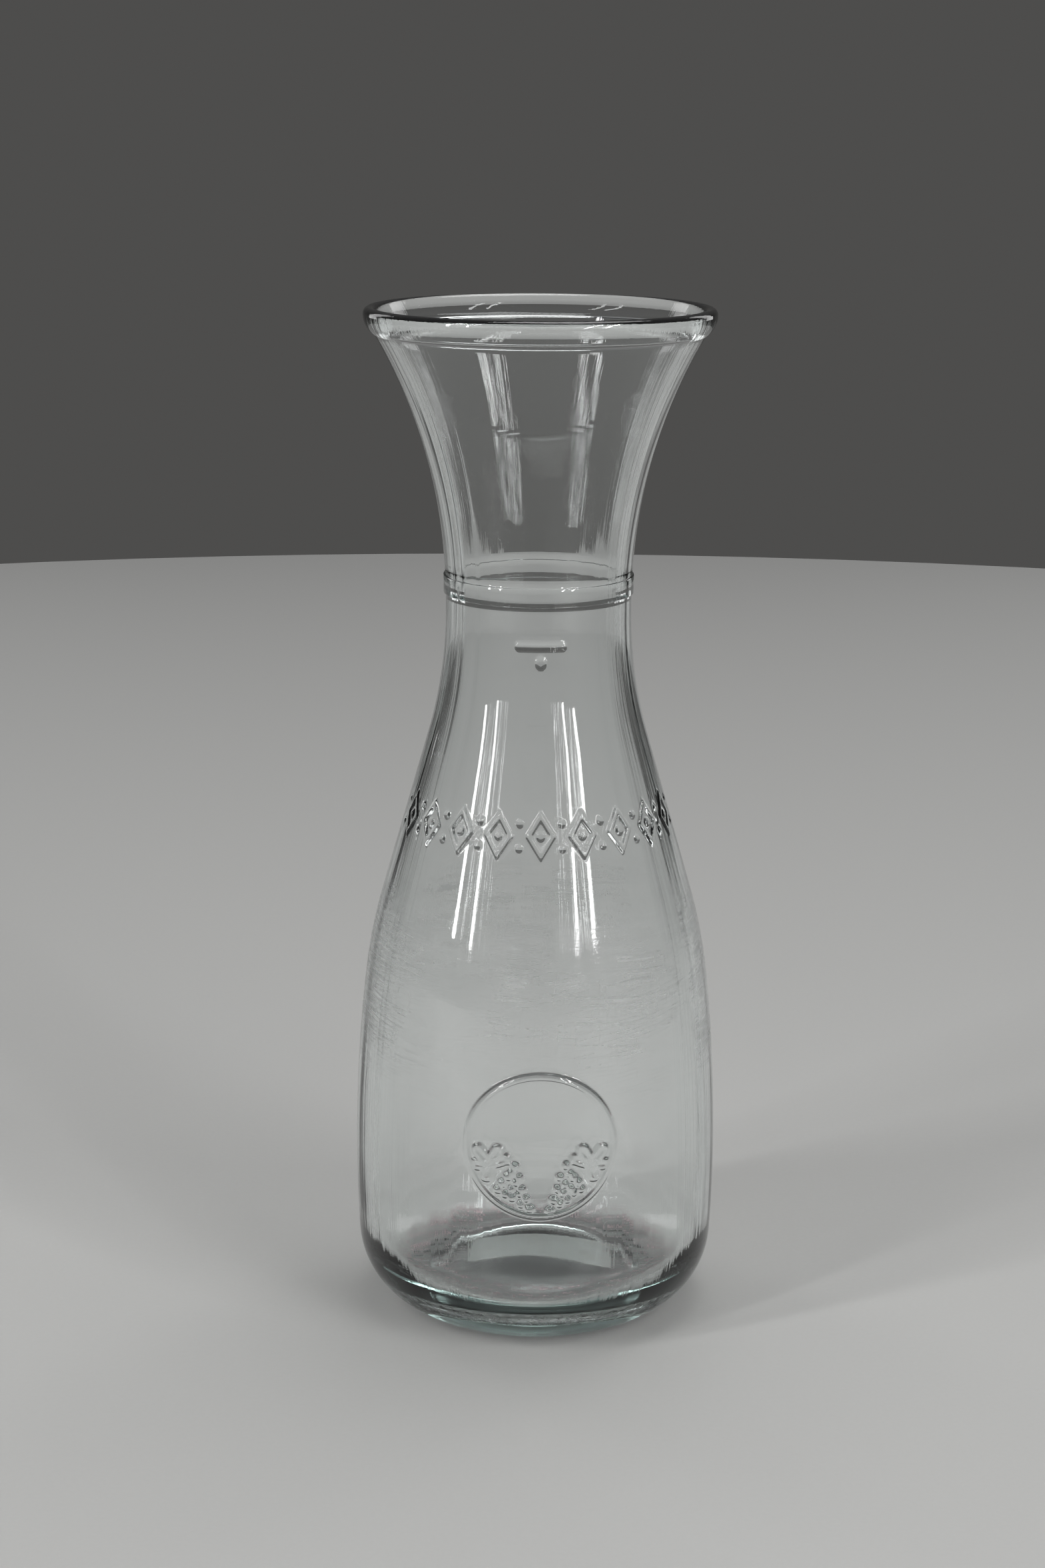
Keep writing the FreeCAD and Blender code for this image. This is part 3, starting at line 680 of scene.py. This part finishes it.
def glassMaterial():
    print("stage: clear glass")
    s = glassLook
    material, tree = newMaterial("clearGlass")
    link = tree.links.new
    coords = addNode(tree, "ShaderNodeTexCoord", (-1800, 0)).outputs["Object"]
    axes = addNode(tree, "ShaderNodeSeparateXYZ", (-1620, 0))
    link(coords, axes.inputs[0])
    rise = axes.outputs["Z"]

    # the wall rolled onto one round of the belly, so that lines run the same way all round it
    flat = vectorNode(tree, "MULTIPLY", (-1620, -250), coords, (1, 1, 0))
    outward = vectorNode(tree, "NORMALIZE", (-1440, -250), flat.outputs[0])
    belly = glassWall["bellyRadius"] * mm
    onBelly = vectorNode(tree, "MULTIPLY", (-1260, -250), outward.outputs[0], (belly, belly, 0))
    height = addNode(tree, "ShaderNodeCombineXYZ", (-1260, -50))
    link(rise, height.inputs["Z"])
    wrapped = vectorNode(tree, "ADD", (-1080, -150), onBelly.outputs[0])
    link(height.outputs[0], wrapped.inputs[1])
    wall = wrapped.outputs[0]

    # rubbed band round the belly, in patches
    bandFoot = spread(tree, (-900, 300), rise, *s["scuffFoot"], smooth=True)
    bandTop = spread(tree, (-900, 500), rise, *s["scuffTop"], smooth=True)
    band = mathNode(tree, "MULTIPLY", (-700, 400), bandFoot, bandTop)
    cloud = noiseNode(tree, (-900, 700), coords, 42.0, 5.0, 0.65)
    patches = spread(tree, (-700, 700), cloud, *s["scuffPatches"], smooth=True)
    rubbed = mathNode(tree, "MULTIPLY", (-520, 500), band, patches)
    lines = linesGroup()
    level = drawnLines(tree, lines, wall, (-900, -250), levelScratches)
    fine = drawnLines(tree, lines, wall, (-900, -450), fineScratches)
    upright = drawnLines(tree, lines, wall, (-900, -650), uprightScratches)
    hatch = mathNode(tree, "MAXIMUM", (-340, -350), level, fine)
    hatch = mathNode(tree, "MAXIMUM", (-160, -450), hatch, upright)
    haze = mathNode(tree, "MULTIPLY_ADD", (-160, -200), hatch, s["hatchShare"], 1 - s["hatchShare"])
    scuff = mathNode(tree, "MULTIPLY", (40, 200), rubbed, haze)

    # dried film in a ring on the floor
    inner = addNode(tree, "ShaderNodeAttribute", (-900, 950))
    inner.attribute_name = "insideWall"
    nearFloor = spread(tree, (-700, 950), rise, *s["filmTop"], smooth=True)
    speckle = noiseNode(tree, (-900, 1150), coords, 430.0, 7.0, 0.72)
    mottled = spread(tree, (-700, 1150), speckle, *s["filmMottle"], smooth=True)
    reach = vectorNode(tree, "LENGTH", (-700, 1350), flat.outputs[0])
    ringIn = spread(tree, (-520, 1350), reach.outputs["Value"], *s["filmInner"], smooth=True)
    ringOut = spread(tree, (-520, 1550), reach.outputs["Value"], *s["filmOuter"], smooth=True)
    ring = mathNode(tree, "MULTIPLY", (-340, 1450), ringIn, ringOut)
    film = mathNode(tree, "MULTIPLY", (-520, 950), inner.outputs["Fac"], nearFloor)
    film = mathNode(tree, "MULTIPLY", (-340, 1050), film, mottled)
    film = mathNode(tree, "MULTIPLY", (-160, 1150), film, ring)

    # roughness, dust and tint of the two
    scuffed = mathNode(tree, "MULTIPLY_ADD", (240, 200), scuff, s["scuffRoughness"], s["clearRoughness"])
    rough = mathNode(tree, "MULTIPLY_ADD", (420, 200), film, s["filmRoughness"], scuffed)
    scuffDust = mathNode(tree, "MULTIPLY", (240, 800), scuff, s["scuffDust"])
    filmDust = mathNode(tree, "MULTIPLY", (240, 1000), film, s["filmDust"])
    dust = mathNode(tree, "ADD", (420, 900), scuffDust, filmDust, clamp=True)
    colour = mixColours(tree, (420, 500), film, s["clearColour"], s["filmColour"])

    # fine upright streaks in the inside wall, then the scratches over them
    streak = drawnLines(tree, lines, wall, (-900, -850), wallStreaks)
    streak = mathNode(tree, "MULTIPLY", (-160, -850), streak, inner.outputs["Fac"])
    waves = addNode(tree, "ShaderNodeBump", (240, -250), Strength=1.0, Distance=s["streakDepth"])
    link(streak, waves.inputs["Height"])
    bump = addNode(tree, "ShaderNodeBump", (420, -150), Strength=s["scratchStrength"],
                   Distance=s["scratchDepth"])
    link(scuff, bump.inputs["Height"])
    link(waves.outputs["Normal"], bump.inputs["Normal"])

    shader = addNode(tree, "ShaderNodeBsdfPrincipled", (700, 200), IOR=s["ior"], Metallic=0.0,
                     Transmission_Weight=1.0, Coat_Roughness=s["dustRoughness"], Coat_IOR=s["dustIor"])
    link(dust, shader.inputs["Coat Weight"])
    link(colour, shader.inputs["Base Color"])
    link(rough, shader.inputs["Roughness"])
    link(bump.outputs["Normal"], shader.inputs["Normal"])
    volume = addNode(tree, "ShaderNodeVolumeAbsorption", (700, -250), Color=s["absorbColour"],
                     Density=s["absorbDensity"])
    output = addNode(tree, "ShaderNodeOutputMaterial", (1000, 100))
    link(shader.outputs[0], output.inputs["Surface"])
    link(volume.outputs[0], output.inputs["Volume"])
    return material


paperLook = dict(colour=(0.95, 0.945, 0.92, 1), stain=(0.82, 0.80, 0.76, 1), stainLevels=(0.48, 0.72),
                 stainMost=0.8, roughness=0.9, fibreStrength=0.4, fibreDepth=0.00008)


def paperMaterial():
    print("stage: label paper")
    s = paperLook
    material, tree = newMaterial("labelPaper")
    link = tree.links.new
    coords = addNode(tree, "ShaderNodeTexCoord", (-900, 0)).outputs["Object"]
    fibre = noiseNode(tree, (-700, 0), coords, 1800.0, 4.0, 0.7)
    cloud = noiseNode(tree, (-700, 250), coords, 150.0, 4.0, 0.6)
    stained = spread(tree, (-500, 250), cloud, *s["stainLevels"], 0.0, s["stainMost"])
    colour = mixColours(tree, (-300, 250), stained, s["colour"], s["stain"])
    bump = addNode(tree, "ShaderNodeBump", (-300, -100), Strength=s["fibreStrength"],
                   Distance=s["fibreDepth"])
    link(fibre, bump.inputs["Height"])
    shader = addNode(tree, "ShaderNodeBsdfPrincipled", (0, 100), Roughness=s["roughness"], Metallic=0.0)
    link(colour, shader.inputs["Base Color"])
    link(bump.outputs["Normal"], shader.inputs["Normal"])
    output = addNode(tree, "ShaderNodeOutputMaterial", (300, 100))
    link(shader.outputs[0], output.inputs["Surface"])
    return material


# Studio, in metres: pale table, dark room with a lighter ceiling
studio = dict(
    tableRadius=1.05, tableSides=128, tableDrop=0.00015, tableRoughness=0.6,
    tableColour=(0.43, 0.43, 0.42, 1), tableGrain=(0.41, 0.41, 0.40, 1),
    roomLow=(0.075, 0.074, 0.072, 1), roomHigh=(0.24, 0.24, 0.245, 1), roomRise=(0.05, 0.85),
    aimHeight=0.11,
)
# tall strips on both sides, two soft ones behind and one overhead; degrees and metres
softLamps = (
    dict(name="stripLeft", azimuth=-62, elevation=30, distance=1.05, tilt=0,
         size=(0.05, 0.9), radiance=26),
    dict(name="stripLeftInner", azimuth=-48, elevation=30, distance=1.05, tilt=0,
         size=(0.04, 0.9), radiance=22),
    dict(name="stripRight", azimuth=48, elevation=30, distance=1.05, tilt=-24,
         size=(0.05, 0.9), radiance=26),
    dict(name="stripRightInner", azimuth=34, elevation=30, distance=1.05, tilt=-20,
         size=(0.04, 0.9), radiance=22),
    dict(name="backLeft", azimuth=-138, elevation=18, distance=1.25, tilt=0,
         size=(0.30, 0.8), radiance=1.8),
    dict(name="backRight", azimuth=138, elevation=18, distance=1.25, tilt=0,
         size=(0.30, 0.8), radiance=1.8),
    dict(name="overhead", azimuth=150, elevation=74, distance=1.3, tilt=0,
         size=(0.8, 0.8), radiance=3.4),
)


def buildTable(s):
    deselectAll()
    bpy.ops.mesh.primitive_circle_add(vertices=s["tableSides"], radius=s["tableRadius"], fill_type="NGON",
                                      location=(0, 0, -s["tableDrop"]))
    table = bpy.context.active_object
    table.name = "tableTop"
    material, tree = newMaterial("paleTable")
    coords = addNode(tree, "ShaderNodeTexCoord", (-700, 0)).outputs["Object"]
    grain = noiseNode(tree, (-500, 0), coords, 900.0, 3.0)
    colour = mixColours(tree, (-250, 0), grain, s["tableColour"], s["tableGrain"])
    shader = addNode(tree, "ShaderNodeBsdfPrincipled", (0, 0), Roughness=s["tableRoughness"], Metallic=0.0)
    tree.links.new(colour, shader.inputs["Base Color"])
    output = addNode(tree, "ShaderNodeOutputMaterial", (300, 0))
    tree.links.new(shader.outputs[0], output.inputs["Surface"])
    table.data.materials.append(material)


def buildRoom(s):
    world = bpy.data.worlds.new("room")
    bpy.context.scene.world = world
    world.use_nodes = True
    tree = world.node_tree
    tree.nodes.clear()
    coords = addNode(tree, "ShaderNodeTexCoord", (-800, 0))
    axes = addNode(tree, "ShaderNodeSeparateXYZ", (-600, 0))
    tree.links.new(coords.outputs["Generated"], axes.inputs[0])
    rise = spread(tree, (-400, 0), axes.outputs["Z"], *s["roomRise"], smooth=True)
    colour = mixColours(tree, (-200, 0), rise, s["roomLow"], s["roomHigh"])
    background = addNode(tree, "ShaderNodeBackground", (0, 0), Strength=1.0)
    tree.links.new(colour, background.inputs["Color"])
    output = addNode(tree, "ShaderNodeOutputWorld", (200, 0))
    tree.links.new(background.outputs[0], output.inputs["Surface"])


def buildLamps(s):
    aim = Vector((0, 0, s["aimHeight"]))
    for lamp in softLamps:
        data = bpy.data.lights.new(lamp["name"], "AREA")
        data.shape = "RECTANGLE"
        data.size, data.size_y = lamp["size"]
        data.energy = lamp["radiance"] * math.pi * data.size * data.size_y
        light = bpy.data.objects.new(lamp["name"], data)
        bpy.context.collection.objects.link(light)
        a, e = math.radians(lamp["azimuth"]), math.radians(lamp["elevation"])
        away = Vector((math.sin(a) * math.cos(e), -math.cos(a) * math.cos(e), math.sin(e)))
        light.location = aim + away * lamp["distance"]
        facing = (-away).to_track_quat("-Z", "Y").to_matrix().to_4x4()
        turned = facing @ Matrix.Rotation(math.radians(lamp["tilt"]), 4, "Z")
        light.rotation_euler = turned.to_euler()


# Camera of the photograph: millimetres and degrees
photoCamera = dict(lens=66.98, sensorHeight=36.0, distance=641.2, height=281.2, azimuth=-1.6,
                   pitch=13.96, pan=0.30, roll=0.30, nearest=10.0)


def buildCamera():
    s = photoCamera
    data = bpy.data.cameras.new("photoCamera")
    data.sensor_fit = "VERTICAL"
    data.sensor_height = s["sensorHeight"]
    data.lens = s["lens"]
    data.clip_start = s["nearest"] * mm
    camera = bpy.data.objects.new("photoCamera", data)
    bpy.context.collection.objects.link(camera)
    a = math.radians(s["azimuth"])
    spot = Vector((math.sin(a) * s["distance"], -math.cos(a) * s["distance"], s["height"])) * mm
    yaw = Matrix.Rotation(a + math.radians(s["pan"]), 4, "Z")
    pitch = Matrix.Rotation(math.radians(90 - s["pitch"]), 4, "X")
    roll = Matrix.Rotation(math.radians(s["roll"]), 4, "Z")
    camera.matrix_world = Matrix.Translation(spot) @ yaw @ pitch @ roll
    bpy.context.scene.camera = camera


glass = buildGlass()
glass.data.materials.append(glassMaterial())
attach(glass, "root")
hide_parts("glass_carafe")

paper = buildPaper()
paper.data.materials.append(paperMaterial())
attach(paper, "root")
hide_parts("paper_label")

print("stage: studio and camera")
buildTable(studio)
buildRoom(studio)
buildLamps(studio)
buildCamera()
bpy.context.scene.view_settings.view_transform = "Standard"
